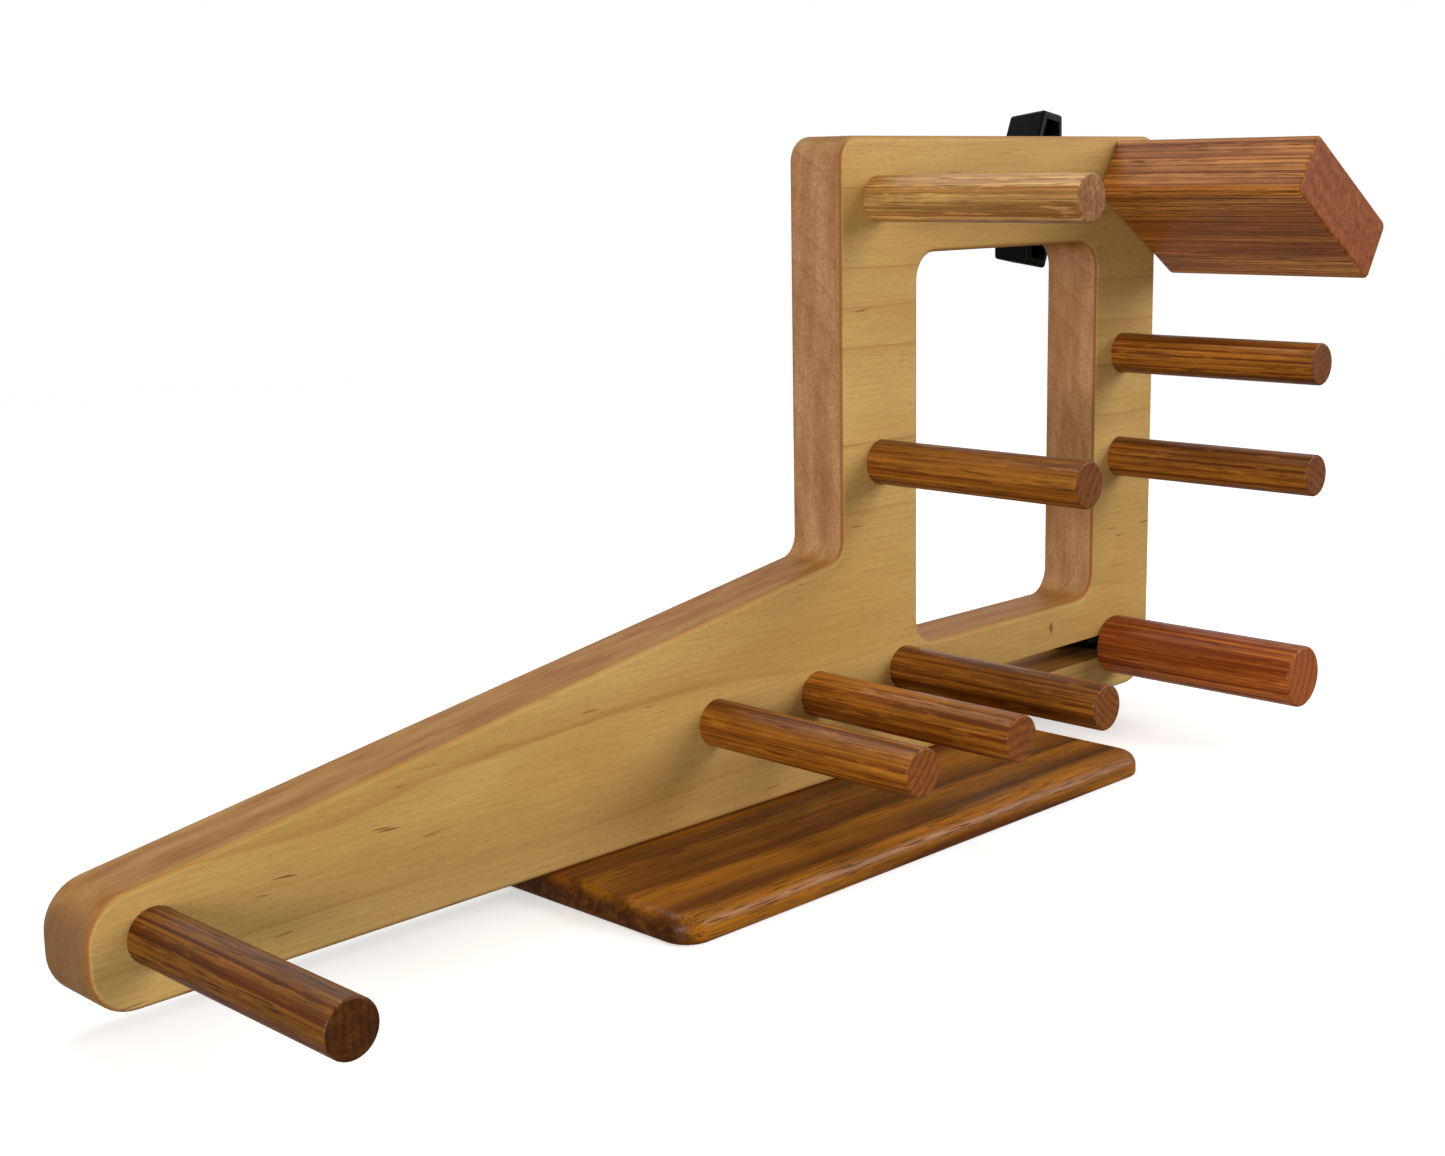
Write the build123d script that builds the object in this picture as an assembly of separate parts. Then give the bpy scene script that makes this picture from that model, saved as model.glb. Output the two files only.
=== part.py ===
from build123d import *
from collections import namedtuple
import math
import os

# Single-sided table loom for weaving narrow bands: an upright board with a long low arm,
# plain warp pegs, one sliding tension peg, one swinging tension paddle, and a foot plate.
#
# Millimetres. The origin is the centre of the foot plate's underside, on the table.
# +X runs along the board towards the upright, +Y towards the knobs at the back, +Z up.
# All pegs point along -Y. "Along" is measured from the upright's left edge and "up" from
# the board's bottom edge.

# ---- Foot plate ----
foot_length = 190.5
foot_width = 76.2
foot_thickness = 7.0
foot_corner_radius = 7.5
foot_top_round = 4.0
foot_bottom_round = 1.2
foot_rear_reach = 8.15         # from the board's back face to the foot's rear edge

# ---- Board: upright and arm in one piece ----
board_thickness = 19.05
board_height = 180.0
upright_width = 155.2
upright_start = 15.0           # from the foot's centre to the upright's left edge
arm_reach = 233.1              # from the upright's left edge to the arm's tip
arm_tip_height = 24.9          # where the arm's sloping top meets its tip
arm_end_radius = 11.0
arm_root_height = 63.6         # where the arm's sloping top meets the upright
inner_corner_radius = 6.0
top_corner_radius = 7.0
bottom_corner_radius = 12.0
board_edge_round = 1.5

# ---- Window in the upright ----
window_left_stile = 33.4
window_right_stile = 33.7
window_top_rail = 32.6
window_bottom_rail = 33.0
window_corner_radius = 8.0

# ---- Slot that the tension peg's stud slides in ----
slot_start = 66.0              # left end, along
slot_right_margin = 14.2       # from the slot's right end to the upright's right edge
slot_bottom = 12.1             # lower wall, up
slot_play = 1.05               # how much taller the slot is than the stud

# ---- Fixed pegs: name, along, up ----
peg_diameter = 12.7
peg_exposed = 70.9             # from the board's front face to the peg's tip
peg_tip_round = 0.6
glue_line = 0.05               # radial, round a glued peg, insert or screw
peg_places = (
    ("front_peg", 15.6 - arm_reach, 15.4),
    ("lower_peg_left", -50.7, 26.8),
    ("lower_peg_middle", -11.0, 26.9),
    ("lower_peg_right", 27.0, 27.5),
    ("top_peg", 16.1, board_height - 17.1),
    ("heddle_peg", 17.0, 89.3),
    ("rear_peg_upper", upright_width - 18.1, 111.5),
    ("rear_peg_lower", upright_width - 19.1, 77.9),
)

# ---- Tension peg ----
tension_peg_diameter = 19.05
tension_peg_length = 69.85
tension_peg_inset = 6.4        # from the slot's right end to the peg's axis
tension_peg_tip_round = 0.8
stud_rest_gap = 0.15           # between the stud and the slot's lower wall

# ---- Tension paddle ----
paddle_length = 69.85
paddle_width = 51.8
paddle_thickness = 20.0
paddle_tilt = 32.4             # how far the long side drops towards the right
paddle_pivot_from_right = 16.4   # from the upright's right edge to the pivot
paddle_pivot_from_top = 16.5
paddle_pivot_inset = 14.3      # from the paddle's upper short side to the pivot
paddle_long_round = 2.4
paddle_end_round = 1.0
face_gap = 0.1                 # between a clamped piece and the board's face

# ---- Clamp hardware: threaded stud, washer, insert ----
stud_diameter = 6.35
stud_tip_chamfer = 0.6
stud_bore_clearance = 0.09     # radial, stud in the board's round hole and in an insert
stud_in_insert = 10.5          # thread engaged in the insert
stud_in_knob = 14.0
moulded_gap = 0.02             # radial, between a knob and its moulded-in stud
insert_diameter = 9.5
insert_length = 12.7
insert_flange_diameter = 11.5
insert_flange_thickness = 0.9
stud_end_room = 2.5            # bore left past the end of the stud
washer_diameter = 18.0
washer_play = 0.4              # how much wider the washer's hole is than the stud
washer_thickness = 1.6

# ---- T-handle knobs: the paddle's, and one a size smaller for the tension peg ----
KnobSizes = namedtuple(
    "KnobSizes", "span tip_width middle_width wing_depth hub_height hub_base_radius hub_top_radius lean"
)
paddle_knob = KnobSizes(
    span=50.8,
    tip_width=10.3,
    middle_width=20.6,
    wing_depth=14.4,
    hub_height=11.8,               # from the washer to the wings
    hub_base_radius=8.0,
    hub_top_radius=9.0,
    lean=10.0,                     # from upright, towards +X
)
tension_knob = KnobSizes(
    span=43.0,
    tip_width=7.9,
    middle_width=16.8,
    wing_depth=11.4,
    hub_height=10.0,
    hub_base_radius=7.0,
    hub_top_radius=7.8,
    lean=90.0,
)
knob_end_slope = 1.8           # how much shorter each wing is at its outer face
knob_draft = 0.5               # how much narrower each side is at the outer face
knob_edge_round = 1.1
knob_side_wall = 1.8           # beside the hollow in each wing's inner face
knob_end_wall = 2.6
knob_floor_wall = 3.2          # between the hollow and the outer face
knob_hub_web = 1.0             # between the hub and the hollow

# ---- Screws that hold the board on the foot ----
screw_places = (20.25 - foot_length / 2, -15.5, foot_length / 2 - 33.25)   # from the foot's centre
screw_diameter = 4.0
screw_head_diameter = 8.0
screw_head_height = 2.4
screw_length = 21.0
screw_sunk = 0.4               # head below the foot's underside
screw_foot_clearance = 0.2
screw_tip_length = 4.0
drive_slot_length = 4.4
drive_slot_width = 0.9
drive_slot_depth = 1.5

# ---- Places worked out from the sizes above ----
board_back = foot_width / 2 - foot_rear_reach
board_front = board_back - board_thickness
board_middle = (board_front + board_back) / 2
stud_radius = stud_diameter / 2
slot_height = stud_diameter + slot_play
slot_length = upright_width - slot_right_margin - slot_start
tension_peg_along = slot_start + slot_length - tension_peg_inset
paddle_pivot_along = upright_width - paddle_pivot_from_right
paddle_pivot_up = board_height - paddle_pivot_from_top
tension_stud_up = slot_bottom + stud_rest_gap + stud_radius
washer_back = board_back + face_gap + washer_thickness
paddle_stud_hole_radius = stud_radius + stud_bore_clearance


def along(distance):
    """X of a place measured from the upright's left edge."""
    return upright_start + distance


def up(height):
    """Z of a place measured from the board's bottom edge."""
    return foot_thickness + height


def slab(sketch, y_front, y_back):
    """A sketch in the X-Z plane made solid from y_front back to y_back."""
    return extrude(Plane.XZ.offset(-y_front) * sketch, amount=y_front - y_back)


def rod(x, z, radius, y_front, y_back):
    """A round bar along Y."""
    return slab(Pos(x, z) * Circle(radius), y_front, y_back)


def nearest_vertex(shape, x, z):
    """The sketch vertex closest to a corner given in the sketch's own plane."""
    return min(shape.vertices(), key=lambda v: math.hypot(v.X - x, v.Y - z))


def board_outline():
    """The board's outline: a low arm rising to the upright's left edge."""
    left, right, tip = along(0), along(upright_width), along(-arm_reach)
    corners = (
        (tip, up(0), arm_end_radius),
        (right, up(0), bottom_corner_radius),
        (right, up(board_height), top_corner_radius),
        (left, up(board_height), top_corner_radius),
        (left, up(arm_root_height), inner_corner_radius),
        (tip, up(arm_tip_height), arm_end_radius),
    )
    outline = make_face(Polyline(*((x, z) for x, z, _ in corners), close=True))
    for x, z, radius in corners:
        outline = fillet(nearest_vertex(outline, x, z), radius)
    return outline


def window_outline():
    """The rounded rectangle inside the upright's stiles and rails."""
    width = upright_width - window_left_stile - window_right_stile
    height = board_height - window_top_rail - window_bottom_rail
    centre = Pos(along(window_left_stile + width / 2), up(window_bottom_rail + height / 2))
    return centre * RectangleRounded(width, height, window_corner_radius)


def slot_outline():
    """The round-ended slot through the bar below the window."""
    centre = Pos(along(slot_start + slot_length / 2), up(slot_bottom + slot_height / 2))
    return centre * SlotOverall(slot_length, slot_height)


def frame_board():
    """Upright and arm, with the window, the slot, the peg holes and the paddle's pivot hole."""
    board = slab(board_outline() - window_outline(), board_front, board_back)
    faces = board.faces().filter_by(Axis.Y)
    board = fillet(faces.edges(), board_edge_round)
    board -= slab(slot_outline(), board_front - 1, board_back + 1)
    for _, distance, height in peg_places:
        radius = peg_diameter / 2 + glue_line
        board -= rod(along(distance), up(height), radius, board_front - 1, board_back + 1)
    pivot_x, pivot_z = along(paddle_pivot_along), up(paddle_pivot_up)
    board -= rod(pivot_x, pivot_z, paddle_stud_hole_radius, board_front - 1, board_back + 1)
    for x in screw_places:
        depth = screw_sunk + screw_length - foot_thickness + 1
        pilot = Cylinder(screw_diameter / 2 + glue_line, depth, align=(Align.CENTER, Align.CENTER, Align.MIN))
        board -= Pos(x, board_middle, up(0)) * pilot
    return board


def foot_plate():
    """The plate under the board, rounded over on top, with countersunk screw holes."""
    plan = RectangleRounded(foot_length, foot_width, foot_corner_radius)
    plate = extrude(plan, amount=foot_thickness)
    plate = fillet(plate.faces().sort_by(Axis.Z)[-1].edges(), foot_top_round)
    plate = fillet(plate.faces().sort_by(Axis.Z)[0].edges(), foot_bottom_round)
    hole_radius = screw_diameter / 2 + screw_foot_clearance
    head_radius = screw_head_diameter / 2 + screw_foot_clearance
    low = (Align.CENTER, Align.CENTER, Align.MIN)
    for x in screw_places:
        place = Pos(x, board_middle, 0)
        plate -= place * Cylinder(hole_radius, foot_thickness + 1, align=low)
        plate -= place * Cylinder(head_radius, screw_sunk, align=low)
        plate -= place * Pos(0, 0, screw_sunk) * Cone(head_radius, hole_radius, screw_head_height, align=low)
    return plate


def foot_screw():
    """A countersunk wood screw standing on its head, with a cross recess."""
    low = (Align.CENTER, Align.CENTER, Align.MIN)
    radius = screw_diameter / 2
    straight = screw_length - screw_head_height - screw_tip_length
    screw = Cone(screw_head_diameter / 2, radius, screw_head_height, align=low)
    screw += Pos(0, 0, screw_head_height) * Cylinder(radius, straight, align=low)
    screw += Pos(0, 0, screw_head_height + straight) * Cone(radius, radius / 4, screw_tip_length, align=low)
    for size in ((drive_slot_length, drive_slot_width), (drive_slot_width, drive_slot_length)):
        screw -= Box(size[0], size[1], drive_slot_depth, align=low)
    return screw


def foot_screws():
    """The row of screws through the foot into the board's bottom edge."""
    return Compound([Pos(x, board_middle, screw_sunk) * foot_screw() for x in screw_places])


def fixed_peg(distance, height):
    """A dowel glued right through the board, flush at the back and eased at its tip."""
    tip = board_front - peg_exposed
    peg = rod(along(distance), up(height), peg_diameter / 2, tip, board_back)
    return fillet(peg.faces().sort_by(Axis.Y)[0].edges(), peg_tip_round)


def insert_bore(x, z):
    """The bore in a clamped piece for its threaded insert and the end of the stud."""
    face = board_front - face_gap
    flange_floor = face - insert_flange_thickness
    bore = rod(x, z, insert_flange_diameter / 2 + glue_line, flange_floor, face)
    bore += rod(x, z, insert_diameter / 2 + glue_line, face - insert_length - stud_end_room, face)
    return bore


def threaded_insert(x, z):
    """A flanged brass insert, flush with the clamped piece's inner end."""
    face = board_front - face_gap
    insert = rod(x, z, insert_flange_diameter / 2, face - insert_flange_thickness, face)
    insert += rod(x, z, insert_diameter / 2, face - insert_length, face)
    return insert - rod(x, z, stud_radius + stud_bore_clearance, face - insert_length, face)


def clamp_stud(x, z):
    """The stud from inside the insert, through washer and board, into the knob."""
    front = board_front - face_gap - stud_in_insert
    stud = rod(x, z, stud_radius, front, washer_back + stud_in_knob)
    return chamfer(stud.faces().sort_by(Axis.Y)[0].edges(), stud_tip_chamfer)


def clamp_washer(x, z):
    """The flat washer between the knob and the board's back."""
    back, front = washer_back, washer_back - washer_thickness
    hole_radius = (stud_diameter + washer_play) / 2
    return rod(x, z, washer_diameter / 2, front, back) - rod(x, z, hole_radius, front, back)


def wing_outline(knob, shorter, narrower):
    """A knob's wings seen along its stud: widest in the middle, narrower at both ends."""
    end = knob.span / 2 - shorter
    middle = knob.middle_width / 2 - narrower
    tip = knob.tip_width / 2 - narrower
    right = [(tip, end), (middle, 0), (tip, -end)]
    left = [(-x, z) for x, z in reversed(right)]
    return make_face(Polyline(*right, *left, close=True))


def t_handle(x, z, knob):
    """A T-handle knob: a round hub that widens into two tapering wings, hollow on the inside."""
    wing_front = washer_back + knob.hub_height
    wing_back = wing_front + knob.wing_depth
    inner = Plane.XZ.offset(-wing_front) * wing_outline(knob, 0, 0)
    outer = Plane.XZ.offset(-wing_back) * wing_outline(knob, knob_end_slope, knob_draft)
    wings = fillet(loft([inner, outer]).edges(), knob_edge_round)
    hollow = wing_outline(knob, knob_end_wall, knob_side_wall)
    hollow -= Rectangle(knob.middle_width, 2 * (knob.hub_top_radius + knob_hub_web))
    wings -= slab(hollow, wing_front, wing_back - knob_floor_wall)
    hub_foot = Plane.XZ.offset(-washer_back) * Circle(knob.hub_base_radius)
    hub_head = Plane.XZ.offset(-(wing_front + knob.wing_depth / 3)) * Circle(knob.hub_top_radius)
    handle = wings + loft([hub_foot, hub_head])
    handle -= rod(0, 0, stud_radius + moulded_gap, washer_back, washer_back + stud_in_knob)
    return Pos(x, 0, z) * Rot(0, knob.lean, 0) * handle


def tension_peg(x, z):
    """The thicker dowel that slides along the slot, bored for its insert."""
    face = board_front - face_gap
    peg = rod(x, z, tension_peg_diameter / 2, face - tension_peg_length, face)
    peg = fillet(peg.faces().filter_by(Axis.Y).edges(), tension_peg_tip_round)
    return peg - insert_bore(x, z)


def tension_paddle(x, z):
    """The eased block that swings about a pivot near its upper short side."""
    face = board_front - face_gap
    section = Pos(paddle_width / 2 - paddle_pivot_inset, 0) * Rectangle(paddle_width, paddle_thickness)
    block = slab(section, face - paddle_length, face)
    block = fillet(block.edges().filter_by(Axis.Y), paddle_long_round)
    block = fillet(block.faces().filter_by(Axis.Y).edges(), paddle_end_round)
    return Pos(x, 0, z) * Rot(0, paddle_tilt, 0) * block - insert_bore(x, z)


def clamp_set(name, x, z, knob):
    """The hardware behind one clamped piece: insert, stud, washer and knob."""
    return {
        name + "_insert": threaded_insert(x, z),
        name + "_stud": clamp_stud(x, z),
        name + "_washer": clamp_washer(x, z),
        name + "_knob": t_handle(x, z, knob),
    }


def loom():
    """Every piece of the loom by name."""
    tension_x, tension_z = along(tension_peg_along), up(tension_stud_up)
    pivot_x, pivot_z = along(paddle_pivot_along), up(paddle_pivot_up)
    pieces = {"frame_board": frame_board(), "foot_plate": foot_plate(), "foot_screws": foot_screws()}
    for name, distance, height in peg_places:
        pieces[name] = fixed_peg(distance, height)
    pieces["tension_peg"] = tension_peg(tension_x, tension_z)
    pieces.update(clamp_set("tension", tension_x, tension_z, tension_knob))
    pieces["tension_paddle"] = tension_paddle(pivot_x, pivot_z)
    pieces.update(clamp_set("paddle", pivot_x, pivot_z, paddle_knob))
    return pieces


os.makedirs("parts", exist_ok=True)
for node, shape in loom().items():
    export_step(shape, "parts/" + node + ".step")
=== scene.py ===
import math
from collections import namedtuple

import bmesh
import bpy
from mathutils import Matrix, Vector

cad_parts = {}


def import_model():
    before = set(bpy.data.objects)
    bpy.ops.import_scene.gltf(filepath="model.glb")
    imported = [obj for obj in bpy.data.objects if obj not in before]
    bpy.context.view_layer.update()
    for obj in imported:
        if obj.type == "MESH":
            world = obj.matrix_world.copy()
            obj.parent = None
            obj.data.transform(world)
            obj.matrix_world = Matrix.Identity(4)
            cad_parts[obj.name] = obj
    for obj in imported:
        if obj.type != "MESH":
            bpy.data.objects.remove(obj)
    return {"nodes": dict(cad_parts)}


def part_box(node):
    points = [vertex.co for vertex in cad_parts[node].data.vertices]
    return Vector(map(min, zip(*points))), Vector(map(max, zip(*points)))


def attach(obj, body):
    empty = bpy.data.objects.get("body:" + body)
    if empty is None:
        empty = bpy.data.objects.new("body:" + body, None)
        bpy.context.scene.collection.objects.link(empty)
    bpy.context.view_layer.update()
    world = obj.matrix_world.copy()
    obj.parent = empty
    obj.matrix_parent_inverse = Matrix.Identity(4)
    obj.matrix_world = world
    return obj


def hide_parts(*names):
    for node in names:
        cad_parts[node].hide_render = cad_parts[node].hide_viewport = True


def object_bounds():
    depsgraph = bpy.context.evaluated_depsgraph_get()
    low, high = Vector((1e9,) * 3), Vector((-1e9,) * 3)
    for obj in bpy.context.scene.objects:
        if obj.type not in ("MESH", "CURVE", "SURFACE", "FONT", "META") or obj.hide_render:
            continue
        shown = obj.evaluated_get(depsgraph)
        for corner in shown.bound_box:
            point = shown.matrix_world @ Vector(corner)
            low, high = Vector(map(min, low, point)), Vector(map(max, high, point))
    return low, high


# Looks for a single-sided table loom: a maple board, oak dowels, a red oak tension peg and
# paddle, an oak foot plate, black moulded T-handles and small metal hardware.
# Metres, in the part's own frame: +X along the board, +Y towards the knobs, +Z up.
# Every material is worked out from object coordinates, so it stays put when a piece moves.

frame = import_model()
cad_low, cad_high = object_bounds()

# ---- Camera: the photograph's viewing angle ----
CAMERA_PLACE = (-0.40451, -0.36137, 0.17788)
CAMERA_YAW = math.radians(45.906)     # from +Y towards +X
CAMERA_PITCH = math.radians(10.773)   # downwards
CAMERA_ROLL = math.radians(0.835)
CAMERA_LENS, CAMERA_SENSOR = 50.68, 36.0    # millimetres
CAMERA_SHIFT = (-0.02233, -0.01374)

# ---- Light ----
WORLD_BACKDROP = (0.62, 0.78, 0.0)    # towards the bright side, behind the loom
WORLD_DIM, WORLD_BRIGHT = 0.26, 0.85  # strength away from the backdrop and towards it
BACKDROP_EDGES = (0.1, 1.0)           # cosine from the backdrop's direction: dim, bright
WORLD_BELOW = 0.45                    # the share of that light that comes up from below
HORIZON_EDGES = (-0.25, 0.05)         # the direction's height: all below, all above
WORLD_COLOUR = (1.0, 0.99, 0.975, 1.0)
WHITE = (1.0, 1.0, 1.0, 1.0)
LAMPS = (                             # name, place, size and power of each square lamp
    ("right_front_lamp", (1.05, -1.15, 0.74), 0.95, 18.0),
    ("left_lamp", (-1.30, -0.55, 0.16), 0.7, 16.0),
    ("top_lamp", (-0.05, 0.55, 1.10), 0.45, 3.0),
)

# ---- Floor ----
FLOOR_RADIUS = 1.6
FLOOR_FADE = (0.40, 0.97)             # where it starts to fade and is gone, in radii
FLOOR_GLOW = 0.50                     # keeps the far floor as pale as its surroundings

# ---- Board ----
TIP_SHADE_START, TIP_SHADE_END = -0.186, -0.204    # where the painted shade on the arm's end grain starts and is full, in X
KNOT_PLACE = (0.1148, 0.0109, 0.0336)              # a small brown knot on the front face
KNOT_RADIUS = 0.0020
KNOT_SQUEEZE = (1.3, 0.5, 0.8)                     # below 1, the knot reaches further on that axis

# ---- Stud threads ----
THREAD_PITCH = 0.00127
THREAD_DEPTH = 0.00068
THREAD_STEPS = 8                      # rings of the mesh in one pitch
THREAD_SIDES = 36
THREAD_RUNOUT = 0.0008                # length at each end over which the thread rises
THREAD_CREST, THREAD_FLANK = 0.10, 0.72    # the crest's and the flank's shares of half a pitch

# ---- Wood ----
PORE_TONE = 0.36                      # how dark oak's pores are beside its dark wood
DOWEL_PITH_REACH = 0.03               # from a dowel's axis to the pith of its tree
DOWEL_PITH_TURN = 2.399963            # turns each dowel's pith round from the one before
DOWEL_SHIFT = 0.31                    # moves each dowel to other wood along its grain
DOWEL_RING_GAPS = (0.0019, 0.0023, 0.0027)    # taken in turn


class Graph:
    """A node tree, built with short calls that each return an output socket."""

    def __init__(self, owner):
        owner.use_nodes = True
        self.tree = owner.node_tree
        self.tree.nodes.clear()
        self.coordinates = self.tree.nodes.new("ShaderNodeTexCoord")

    def join(self, source, target):
        self.tree.links.new(source, target)

    def feed(self, target, value):
        """Links a socket, or sets a plain number or colour."""
        if isinstance(value, bpy.types.NodeSocket):
            self.join(value, target)
        else:
            target.default_value = value

    def math(self, operation, first, second=0.0):
        node = self.tree.nodes.new("ShaderNodeMath")
        node.operation = operation
        self.feed(node.inputs[0], first)
        self.feed(node.inputs[1], second)
        return node.outputs[0]

    def vector(self, operation, first, second=(0.0, 0.0, 0.0)):
        node = self.tree.nodes.new("ShaderNodeVectorMath")
        node.operation = operation
        self.feed(node.inputs[0], first)
        self.feed(node.inputs[1], second)
        return node.outputs["Value" if operation in ("LENGTH", "DOT_PRODUCT") else "Vector"]

    def parts(self, vector):
        node = self.tree.nodes.new("ShaderNodeSeparateXYZ")
        self.join(vector, node.inputs[0])
        return node.outputs[0], node.outputs[1], node.outputs[2]

    def combine(self, x, y, z):
        node = self.tree.nodes.new("ShaderNodeCombineXYZ")
        for socket, value in zip(node.inputs, (x, y, z)):
            self.feed(socket, value)
        return node.outputs[0]

    def noise(self, vector, scales, detail=2.0, roughness=0.5):
        """Smooth noise whose features are 1/scale metres long on each axis."""
        node = self.tree.nodes.new("ShaderNodeTexNoise")
        node.inputs["Scale"].default_value = 1.0
        node.inputs["Detail"].default_value = detail
        node.inputs["Roughness"].default_value = roughness
        self.join(self.vector("MULTIPLY", vector, scales), node.inputs["Vector"])
        return node.outputs["Fac"]

    def spread(self, value, low, high, new_low, new_high, curve="LINEAR"):
        """A value from low..high stretched to new_low..new_high, and held at those ends."""
        node = self.tree.nodes.new("ShaderNodeMapRange")
        node.interpolation_type = curve
        self.feed(node.inputs["Value"], value)
        limits = {"From Min": low, "From Max": high, "To Min": new_low, "To Max": new_high}
        for name, number in limits.items():
            node.inputs[name].default_value = number
        return node.outputs["Result"]

    def step(self, value, low, high, new_low=0.0, new_high=1.0):
        """Like spread, but the curve eases in and out; from 0 to 1 unless told otherwise."""
        return self.spread(value, low, high, new_low, new_high, "SMOOTHSTEP")

    def mix(self, share, first, second):
        """The first colour, turned into the second by a share of 0 to 1."""
        node = self.tree.nodes.new("ShaderNodeMix")
        node.data_type = "RGBA"
        self.feed(node.inputs[0], share)
        self.feed(node.inputs[6], first)
        self.feed(node.inputs[7], second)
        return node.outputs[2]

    def ramp(self, value, stops):
        """A curve through (position, level) stops."""
        node = self.tree.nodes.new("ShaderNodeValToRGB")
        elements = node.color_ramp.elements
        while len(elements) > 1:
            elements.remove(elements[-1])
        elements[0].position, elements[0].color = stops[0][0], (stops[0][1],) * 3 + (1.0,)
        for position, level in stops[1:]:
            elements.new(position).color = (level,) * 3 + (1.0,)
        self.feed(node.inputs[0], value)
        return node.outputs["Color"]


class Material(Graph):
    """A material's nodes round one Principled shader."""

    def __init__(self, name):
        self.material = bpy.data.materials.new(name)
        super().__init__(self.material)
        output = self.tree.nodes.new("ShaderNodeOutputMaterial")
        self.shader = self.tree.nodes.new("ShaderNodeBsdfPrincipled")
        self.join(self.shader.outputs["BSDF"], output.inputs["Surface"])

    def place(self):
        return self.coordinates.outputs["Object"]

    def normal(self):
        return self.coordinates.outputs["Normal"]

    def set(self, name, value):
        """Feeds one of the shader's inputs."""
        self.feed(self.shader.inputs[name], value)

    def bump(self, height, distance, strength=1.0):
        node = self.tree.nodes.new("ShaderNodeBump")
        node.inputs["Strength"].default_value = strength
        node.inputs["Distance"].default_value = distance
        self.join(height, node.inputs["Height"])
        self.join(node.outputs["Normal"], self.shader.inputs["Normal"])


def rgb(red, green, blue):
    """A colour given as it looks on a screen, 0 to 255, turned into linear light."""
    def linear(level):
        level /= 255.0
        return level / 12.92 if level <= 0.04045 else ((level + 0.055) / 1.055) ** 2.4

    return linear(red), linear(green), linear(blue), 1.0


OakColours = namedtuple("OakColours", "pale mid dark end")
BROWN_OAK = OakColours(rgb(212, 134, 44), rgb(142, 72, 12), rgb(78, 31, 2), rgb(138, 76, 30))
GOLDEN_OAK = OakColours(rgb(250, 198, 118), rgb(190, 122, 56), rgb(112, 64, 20), rgb(160, 94, 44))
PEG_OAK = OakColours(rgb(222, 126, 48), rgb(176, 84, 24), rgb(112, 42, 6), rgb(176, 94, 44))
PADDLE_OAK = OakColours(rgb(238, 160, 74), rgb(184, 102, 34), rgb(104, 44, 8), rgb(150, 66, 16))
FOOT_OAK = OakColours(rgb(200, 124, 26), rgb(118, 60, 6), rgb(66, 30, 3), rgb(56, 26, 8))
DOWELS = {                            # each dowel's oak, and how pale its sides and its end are
    "front_peg": (BROWN_OAK, 0.50, 0.26),
    "lower_peg_left": (BROWN_OAK, 0.92, 1.3),
    "lower_peg_middle": (BROWN_OAK, 1.0, 1.15),
    "lower_peg_right": (BROWN_OAK, 0.78, 1.1),
    "top_peg": (GOLDEN_OAK, 1.05, 0.8),
    "heddle_peg": (BROWN_OAK, 0.80, 0.9),
    "rear_peg_upper": (BROWN_OAK, 0.90, 0.72),
    "rear_peg_lower": (BROWN_OAK, 0.92, 0.78),
}


def along_grain(g, grain, shift):
    """The piece's coordinates with the grain as the first axis, moved by a shift along it so
    that each piece has its own wood, and how squarely the surface cuts the grain, 0 to 1."""
    x, y, z = g.parts(g.place())
    nx, ny, _ = g.parts(g.normal())
    order = {"X": (x, y, z, nx), "Y": (y, x, z, ny)}[grain]
    moved = g.vector("ADD", g.combine(*order[:3]), (shift, 0.0, 0.0))
    return moved, g.math("ABSOLUTE", order[3])


def growth_rings(g, place, pith, gap, wander):
    """Rings round a pith line along the grain: 0 at a ring's pale start, 1 at its dark end."""
    slow = g.noise(place, (4.0, 22.0, 22.0), 2.0)
    fine = g.noise(place, (7.0, 110.0, 110.0), 2.0)
    _, across, up = g.parts(place)
    shift = g.math("MULTIPLY", g.math("SUBTRACT", slow, 0.5), wander)
    shift = g.math("ADD", shift, g.math("MULTIPLY", g.math("SUBTRACT", fine, 0.5), wander * 0.10))
    from_pith = g.combine(0.0, g.math("SUBTRACT", across, pith[0]), g.math("SUBTRACT", up, pith[1]))
    distance = g.math("ADD", g.vector("LENGTH", from_pith), shift)
    return g.math("FRACT", g.math("DIVIDE", distance, gap))


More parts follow.
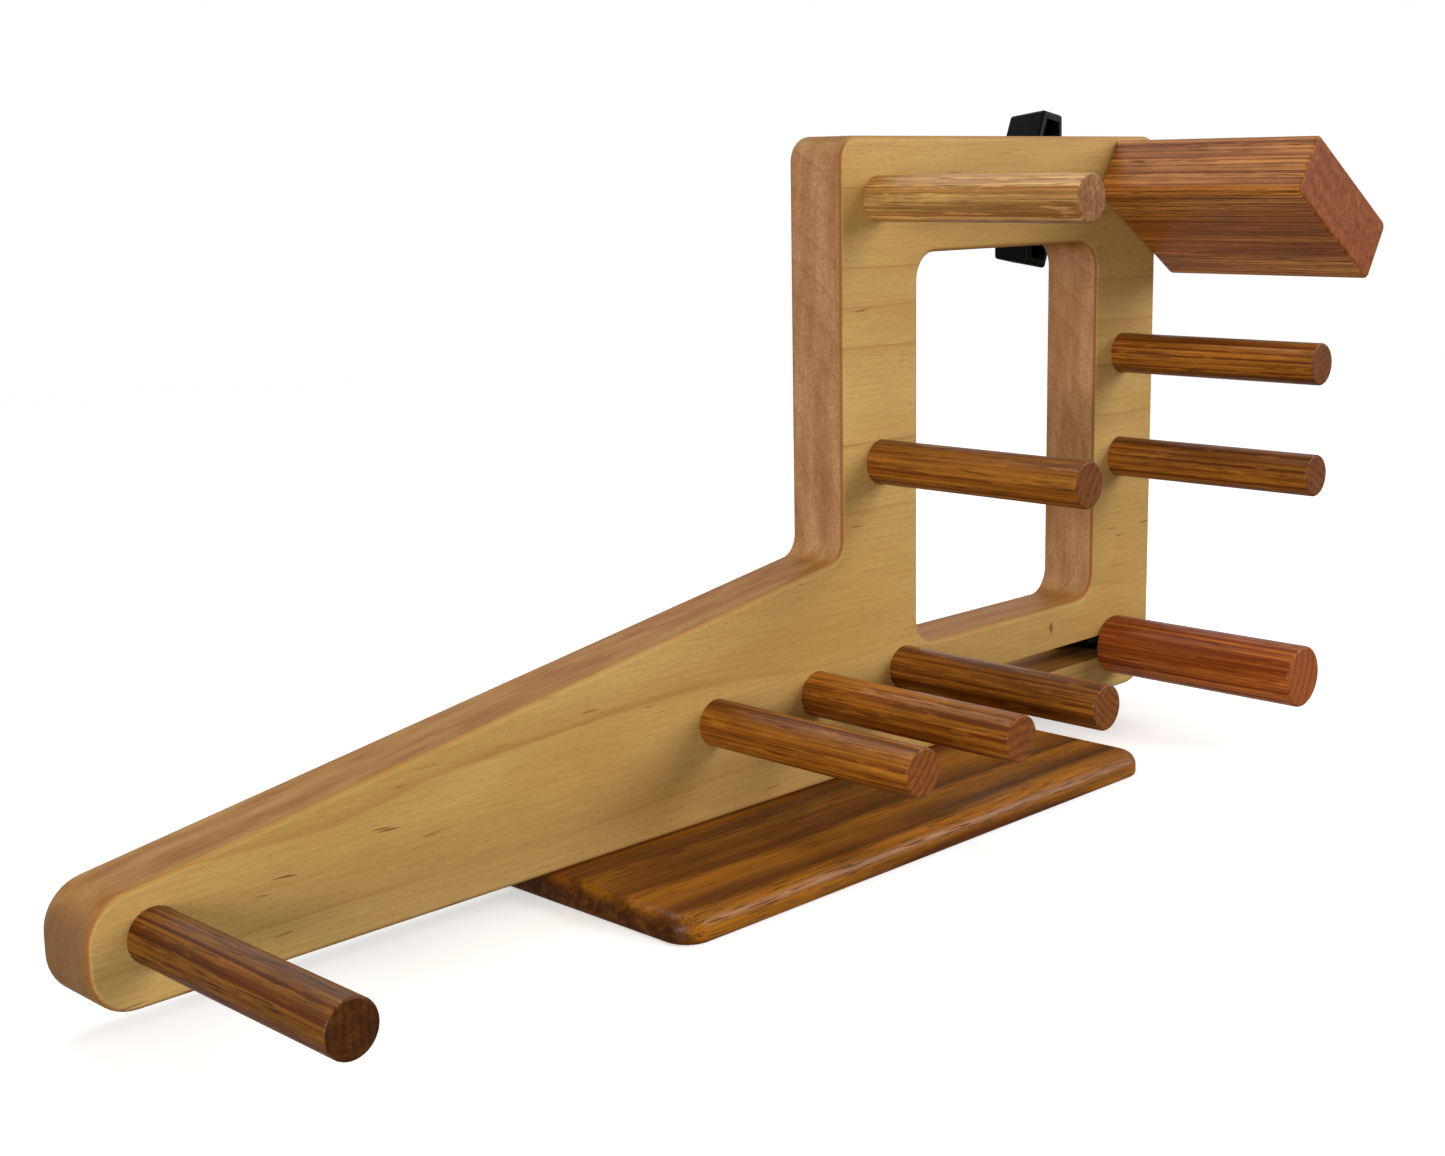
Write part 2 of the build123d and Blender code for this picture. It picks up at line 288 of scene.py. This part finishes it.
def maple(name):
    """Pale hard maple under oil: faint growth lines, fine flecks, brown mineral dashes."""
    g = Material(name)
    place, end_grain = along_grain(g, "X", 0.0)
    _, ny, _ = g.parts(g.normal())

    # The pale wood, with lines at the end of each ring that come and go
    ring = growth_rings(g, place, (0.085, 0.060), 0.0085, 0.012)
    line = g.ramp(ring, ((0.0, 0.10), (0.08, 0.0), (0.62, 0.10), (0.92, 0.35), (0.972, 1.0), (1.0, 0.15)))
    fibre = g.noise(place, (50.0, 1100.0, 1100.0), 3.0, 0.6)
    fleck = g.step(g.noise(place, (620.0, 2700.0, 2700.0), 1.0), 0.52, 0.74)
    cloud = g.noise(place, (9.0, 30.0, 30.0), 3.0)
    colour = g.mix(g.spread(cloud, 0.34, 0.66, 0.0, 1.0), rgb(202, 161, 90), rgb(222, 185, 113))
    fading = g.spread(g.noise(place, (7.0, 90.0, 90.0), 1.0), 0.40, 0.62, 0.06, 0.50)
    colour = g.mix(g.math("MULTIPLY", line, fading), colour, rgb(154, 98, 42))
    colour = g.mix(g.spread(fibre, 0.3, 0.7, 0.34, 0.0), colour, rgb(170, 122, 64))
    colour = g.mix(g.math("MULTIPLY", fleck, 0.24), colour, rgb(166, 116, 62))

    # Short brown dashes in a few places, and one small knot
    sparse = g.step(g.noise(place, (12.0, 44.0, 44.0), 1.0), 0.44, 0.54)
    dash = g.step(g.noise(place, (52.0, 680.0, 680.0), 1.0), 0.705, 0.775)
    dash = g.math("MULTIPLY", dash, sparse)
    colour = g.mix(g.math("MULTIPLY", dash, 0.85), colour, rgb(112, 64, 28))
    from_knot = g.vector("MULTIPLY", g.vector("SUBTRACT", place, KNOT_PLACE), KNOT_SQUEEZE)
    knot = g.step(g.vector("LENGTH", from_knot), KNOT_RADIUS, KNOT_RADIUS / 4)
    colour = g.mix(g.math("MULTIPLY", knot, 0.8), colour, rgb(140, 70, 28))

    # End grain: blotchy and darker, with painted shade that makes it darkest and greyer at the arm's tip
    end = g.step(end_grain, 0.45, 0.95)
    blotch = g.noise(place, (60.0, 190.0, 30.0), 4.0, 0.55)
    end_colour = g.mix(g.spread(blotch, 0.32, 0.68, 0.0, 1.0), rgb(172, 122, 80), rgb(228, 178, 132))
    end_colour = g.mix(g.spread(fibre, 0.35, 0.7, 0.40, 0.0), end_colour, rgb(122, 74, 40))
    end_colour = g.mix(g.math("MULTIPLY", line, 0.35), end_colour, rgb(120, 70, 36))
    # Painted shade: the end grain at the arm's tip is turned darker and greyer
    tip_shade = g.step(g.parts(place)[0], TIP_SHADE_START, TIP_SHADE_END)
    end_colour = g.mix(g.math("MULTIPLY", tip_shade, 0.75), end_colour, rgb(96, 70, 46))
    colour = g.mix(g.math("MULTIPLY", end, 0.9), colour, end_colour)

    # Oil, streaky on the edges, together with painted shade: every face that doesn't face front or back is
    # tinted darker, for the shade the top and edge faces are in. Oil is also soaked into the rounding
    # between a face and an edge
    facing = g.math("MULTIPLY", ny, ny)
    eased = g.math("MULTIPLY", g.math("MULTIPLY", facing, g.math("SUBTRACT", 1.0, facing)), 4.0)
    shade_and_oil_sides = g.math("SUBTRACT", 1.0, g.step(facing, 0.02, 0.5))
    shade_and_oil_sides = g.math("MULTIPLY", shade_and_oil_sides, g.spread(end, 0.0, 1.0, 1.0, 0.3))
    streaks = g.spread(g.noise(place, (14.0, 260.0, 260.0), 3.0, 0.6), 0.36, 0.64, 0.50, 0.90)
    # Painted shade and oil streaks: the top, bottom and edge faces are tinted darker
    colour = g.mix(g.math("MULTIPLY", shade_and_oil_sides, streaks), colour, rgb(156, 92, 30))
    soaked = g.spread(end_grain, 0.22, 0.6, 0.30, 0.85)
    colour = g.mix(g.math("MULTIPLY", g.step(eased, 0.2, 1.0), soaked), colour, rgb(158, 90, 30))

    g.set("Base Color", colour)
    g.set("Roughness", g.spread(fibre, 0.3, 0.7, 0.42, 0.56))
    g.set("Specular IOR Level", 0.14)
    g.bump(g.math("ADD", fibre, g.math("MULTIPLY", fleck, -0.35)), 0.00007)
    return g.material


def oak(name, colours, grain, shift, pith, gap, wander=0.004, band=0.8, flecks=0.35, streaky=1.0):
    """Open-grained oak: strong rings, long dark pores in the pale wood, pale ray flecks.

    The rings are gap apart, centred on the pith, which is a point across the grain, and wander
    by that many metres. Band, flecks and streaky say how strongly rings, flecks and streaks show."""
    g = Material(name)
    place, end_grain = along_grain(g, grain, shift)
    pale, mid, dark, end_tint = colours
    deep = tuple(level * PORE_TONE for level in dark[:3]) + (1.0,)

    # Rings, and streaks along the grain
    ring = growth_rings(g, place, pith, gap, wander)
    late = g.ramp(ring, ((0.0, 0.25), (0.12, 0.0), (0.45, 0.22), (0.80, 0.95), (0.93, 1.0), (1.0, 0.25)))
    early = g.ramp(ring, ((0.0, 0.9), (0.10, 1.0), (0.42, 0.45), (0.7, 0.12), (1.0, 0.55)))
    cloud = g.noise(place, (12.0, 95.0, 95.0), 2.0)
    fibre = g.noise(place, (60.0, 2800.0, 2800.0), 3.0, 0.62)
    streak = g.noise(place, (8.0, 1050.0, 1050.0), 2.0, 0.6)
    colour = g.mix(g.math("MULTIPLY", late, band), pale, mid)
    colour = g.mix(g.spread(cloud, 0.40, 0.62, 0.0, 0.52), colour, dark)
    colour = g.mix(g.spread(streak, 0.44, 0.64, 0.0, 0.72 * streaky), colour, dark)
    colour = g.mix(g.spread(streak, 0.46, 0.34, 0.0, 0.45 * streaky), colour, pale)
    colour = g.mix(g.spread(fibre, 0.35, 0.7, 0.0, 0.35), colour, dark)

    # Pale ray flecks, and dark pores that crowd in the early wood
    ray = g.step(g.noise(place, (110.0, 640.0, 640.0), 1.0), 0.60, 0.69)
    colour = g.mix(g.math("MULTIPLY", ray, flecks), colour, pale)
    pore = g.step(g.noise(place, (105.0, 2500.0, 2500.0), 1.0, 0.4), 0.57, 0.66)
    pore = g.math("MULTIPLY", pore, g.math("ADD", g.math("MULTIPLY", early, 0.65), 0.1))
    colour = g.mix(g.math("MULTIPLY", pore, 0.85), colour, deep)

    # End grain: rings, mottling and round pores
    end = g.step(end_grain, 0.55, 0.97)
    end_colour = g.mix(g.math("MULTIPLY", late, 0.55), end_tint, dark)
    mottle = g.noise(place, (60.0, 520.0, 520.0), 3.0, 0.6)
    end_colour = g.mix(g.spread(mottle, 0.45, 0.70, 0.0, 0.22), end_colour, pale)
    end_pore = g.step(g.noise(place, (120.0, 2600.0, 2600.0), 1.0), 0.52, 0.62)
    end_pore = g.math("MULTIPLY", end_pore, g.math("ADD", g.math("MULTIPLY", early, 0.6), 0.15))
    end_colour = g.mix(g.math("MULTIPLY", end_pore, 0.75), end_colour, deep)
    colour = g.mix(g.math("MULTIPLY", end, 0.9), colour, end_colour)

    g.set("Base Color", colour)
    smoothness = g.spread(fibre, 0.3, 0.7, 0.30, 0.44)
    g.set("Roughness", g.math("ADD", smoothness, g.math("MULTIPLY", pore, 0.25)))
    g.set("Specular IOR Level", 0.22)
    g.bump(g.math("SUBTRACT", g.math("MULTIPLY", fibre, 0.3), pore), 0.00010, 0.8)
    return g.material


def black_plastic(name):
    """Moulded nylon: near black with a fine satin texture."""
    g = Material(name)
    grit = g.noise(g.place(), (5200.0,) * 3, 2.0)
    cloud = g.noise(g.place(), (160.0,) * 3, 2.0)
    g.set("Base Color", g.mix(g.spread(cloud, 0.3, 0.7, 0.0, 1.0), rgb(3, 3, 4), rgb(8, 8, 9)))
    uneven = g.math("ADD", g.math("MULTIPLY", grit, 0.5), g.math("MULTIPLY", cloud, 0.5))
    g.set("Roughness", g.spread(uneven, 0.3, 0.7, 0.36, 0.56))
    g.set("Specular IOR Level", 0.16)
    g.bump(grit, 0.00003, 0.7)
    return g.material


def metal(name, colour, worn, roughness):
    """Plated or turned metal with fine, uneven brightness."""
    g = Material(name)
    fine = g.noise(g.place(), (900.0,) * 3, 3.0, 0.6)
    cloud = g.noise(g.place(), (300.0,) * 3, 2.0)
    g.set("Metallic", 1.0)
    g.set("Base Color", g.mix(g.spread(cloud, 0.35, 0.65, 0.0, 1.0), colour, worn))
    g.set("Roughness", g.spread(fine, 0.3, 0.7, roughness - 0.08, roughness + 0.12))
    g.bump(fine, 0.00002, 0.5)
    return g.material


def link(name, data):
    """Puts new data into the scene as an object at the origin."""
    made = bpy.data.objects.new(name, data)
    bpy.context.scene.collection.objects.link(made)
    return made


def finished_mesh(name, mesh):
    """Turns a bmesh into mesh data."""
    data = bpy.data.meshes.new(name)
    mesh.to_mesh(data)
    mesh.free()
    return data


def dress(node, material):
    """Puts a material on a CAD node."""
    mesh = frame["nodes"][node].data
    mesh.materials.clear()
    mesh.materials.append(material)


def thread_radius(turns, radius):
    """A thread's radius at a point so many pitches along its helix: full at its crest, less
    on its flanks, least at its root."""
    from_crest = abs(turns % 1.0 - 0.5) * 2.0
    down_flank = min(1.0, max(0.0, (from_crest - THREAD_CREST) / THREAD_FLANK))
    return radius - THREAD_DEPTH * down_flank


def threaded_stud(name, node, body):
    """A black stud with a real helical thread, in the place of the plain CAD one."""
    low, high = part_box(node)
    x, z = (low.x + high.x) / 2, (low.z + high.z) / 2
    radius, length = (high.x - low.x) / 2, high.y - low.y
    rings = round(length / THREAD_PITCH * THREAD_STEPS)
    mesh = bmesh.new()
    rows = []
    for i in range(rings + 1):
        y = length * i / rings
        risen = min(1.0, min(y, length - y) / THREAD_RUNOUT)
        row = []
        for j in range(THREAD_SIDES):
            angle = 2 * math.pi * j / THREAD_SIDES
            r = thread_radius(y / THREAD_PITCH - j / THREAD_SIDES, radius)
            r = min(r, radius - THREAD_DEPTH * (1 - risen))
            row.append(mesh.verts.new((x + r * math.cos(angle), low.y + y, z + r * math.sin(angle))))
        rows.append(row)
    for lower, upper in zip(rows, rows[1:]):
        for j in range(THREAD_SIDES):
            k = (j + 1) % THREAD_SIDES
            mesh.faces.new((lower[j], upper[j], upper[k], lower[k]))
    mesh.faces.new(rows[0])
    mesh.faces.new(reversed(rows[-1]))
    bmesh.ops.recalc_face_normals(mesh, faces=mesh.faces)
    data = finished_mesh(name, mesh)
    data.shade_smooth()
    stud = link(name, data)
    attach(stud, body)
    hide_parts(node)
    return stud


def toned(colour, tone):
    """A colour made paler (above 1) or darker (below 1)."""
    return tuple(min(1.0, level * tone) for level in colour[:3]) + (1.0,)


def dress_dowels():
    """Eight dowels, each cut from other wood, so no two have the same grain."""
    for i, (node, (colours, tone, end_tone)) in enumerate(DOWELS.items()):
        turn = DOWEL_PITH_TURN * i
        low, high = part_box(node)
        centre = (low + high) / 2
        pith = (centre.x + DOWEL_PITH_REACH * math.cos(turn), centre.z + DOWEL_PITH_REACH * math.sin(turn))
        gap = DOWEL_RING_GAPS[i % len(DOWEL_RING_GAPS)]
        own = OakColours(*(toned(colour, tone) for colour in colours[:3]), toned(colours.end, end_tone))
        dress(node, oak("oak_" + node, own, "Y", DOWEL_SHIFT * i, pith, gap,
                        wander=0.0025, band=0.95, flecks=0.3, streaky=0.8))


def dress_other_wood():
    """The board, the foot plate, and the thick peg and the paddle, whose grain runs along Y."""
    dress("frame_board", maple("maple"))
    dress("foot_plate", oak("brown_oak_foot", FOOT_OAK, "X", 3.3, (0.03, -0.060), 0.0092,
                            wander=0.020, band=0.95, flecks=0.1, streaky=0.45))
    low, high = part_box("tension_peg")
    centre = (low + high) / 2
    pith = (centre.x - 0.03, centre.z + 0.012)
    dress("tension_peg", oak("red_oak_peg", PEG_OAK, "Y", 1.7, pith, 0.0034, flecks=0.2))
    low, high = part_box("tension_paddle")
    centre = (low + high) / 2
    pith = (centre.x + 0.075, centre.z + 0.12)
    dress("tension_paddle", oak("red_oak_paddle", PADDLE_OAK, "Y", 2.9, pith, 0.0046,
                                wander=0.007, flecks=0.15))


def dress_hardware():
    """Knobs, inserts, washers and screws, and the two threaded studs."""
    plastic = black_plastic("black_plastic")
    brass = metal("brass", rgb(190, 150, 84), rgb(214, 178, 112), 0.30)
    steel = metal("zinc_steel", rgb(150, 152, 156), rgb(188, 190, 194), 0.32)
    black_steel = metal("black_steel", rgb(28, 28, 30), rgb(52, 52, 54), 0.42)
    dress("foot_screws", steel)
    for place in ("tension", "paddle"):
        dress(place + "_knob", plastic)
        dress(place + "_insert", brass)
        dress(place + "_washer", black_steel)
        dress(place + "_stud", black_steel)
        stud = threaded_stud(place + "_stud_thread", place + "_stud", place + "_knob")
        stud.data.materials.append(black_steel)


def floor():
    """A pale round floor that fades out into the white surroundings."""
    mesh = bmesh.new()
    bmesh.ops.create_circle(mesh, cap_ends=True, segments=96, radius=FLOOR_RADIUS)
    ground = link("floor", finished_mesh("floor", mesh))
    g = Material("floor")
    mottle = g.noise(g.place(), (3.0, 3.0, 3.0), 2.0)
    g.set("Base Color", g.mix(mottle, rgb(250, 250, 249), rgb(244, 244, 243)))
    g.set("Roughness", 0.9)
    g.set("Specular IOR Level", 0.1)
    g.set("Emission Color", WHITE)
    g.set("Emission Strength", FLOOR_GLOW)
    fade_start, fade_end = (FLOOR_RADIUS * share for share in FLOOR_FADE)
    g.set("Alpha", g.step(g.vector("LENGTH", g.place()), fade_end, fade_start))
    ground.data.materials.append(g.material)
    ground.visible_diffuse = ground.visible_glossy = False


def world():
    """Surroundings that the camera sees as plain white, and whose light is strongest from the
    backdrop and weakest from below."""
    bpy.context.scene.world = bpy.data.worlds.new("studio")
    g = Graph(bpy.context.scene.world)
    direction = g.coordinates.outputs["Generated"]
    towards_backdrop = g.vector("DOT_PRODUCT", direction, WORLD_BACKDROP)
    strength = g.step(towards_backdrop, *BACKDROP_EDGES, WORLD_DIM, WORLD_BRIGHT)
    height = g.parts(direction)[2]
    strength = g.math("MULTIPLY", strength, g.step(height, *HORIZON_EDGES, WORLD_BELOW, 1.0))
    light, seen = g.tree.nodes.new("ShaderNodeBackground"), g.tree.nodes.new("ShaderNodeBackground")
    g.feed(light.inputs["Color"], WORLD_COLOUR)
    g.feed(light.inputs["Strength"], strength)
    g.feed(seen.inputs["Color"], WHITE)
    ray, choice = g.tree.nodes.new("ShaderNodeLightPath"), g.tree.nodes.new("ShaderNodeMixShader")
    g.join(ray.outputs["Is Camera Ray"], choice.inputs[0])
    g.join(light.outputs[0], choice.inputs[1])
    g.join(seen.outputs[0], choice.inputs[2])
    g.join(choice.outputs[0], g.tree.nodes.new("ShaderNodeOutputWorld").inputs["Surface"])


def area_light(name, place, size, power):
    """A large soft square light that faces the loom's middle."""
    data = bpy.data.lights.new(name, "AREA")
    data.shape, data.size, data.energy = "SQUARE", size, power
    lamp = link(name, data)
    lamp.location = place
    towards_loom = (cad_low + cad_high) / 2 - Vector(place)
    lamp.rotation_euler = towards_loom.to_track_quat("-Z", "Y").to_euler()


def camera():
    """The camera at the photograph's place, turned by yaw, pitch and roll."""
    cosine = math.cos(CAMERA_PITCH)
    forward = Vector((math.sin(CAMERA_YAW) * cosine, math.cos(CAMERA_YAW) * cosine, -math.sin(CAMERA_PITCH)))
    right = Vector((math.cos(CAMERA_YAW), -math.sin(CAMERA_YAW), 0.0))
    down = forward.cross(right)
    rolled_right = right * math.cos(CAMERA_ROLL) + down * math.sin(CAMERA_ROLL)
    rolled_down = down * math.cos(CAMERA_ROLL) - right * math.sin(CAMERA_ROLL)
    data = bpy.data.cameras.new("camera")
    data.lens, data.sensor_width = CAMERA_LENS, CAMERA_SENSOR
    data.shift_x, data.shift_y = CAMERA_SHIFT
    data.clip_start, data.clip_end = 0.01, 50.0
    view = link("camera", data)
    turn = Matrix((rolled_right, -rolled_down, -forward)).transposed().to_4x4()
    view.matrix_world = Matrix.Translation(CAMERA_PLACE) @ turn
    bpy.context.scene.camera = view


camera()
world()
for lamp_settings in LAMPS:
    area_light(*lamp_settings)
floor()
dress_other_wood()
dress_dowels()
dress_hardware()
bpy.context.scene.view_settings.view_transform = "Standard"
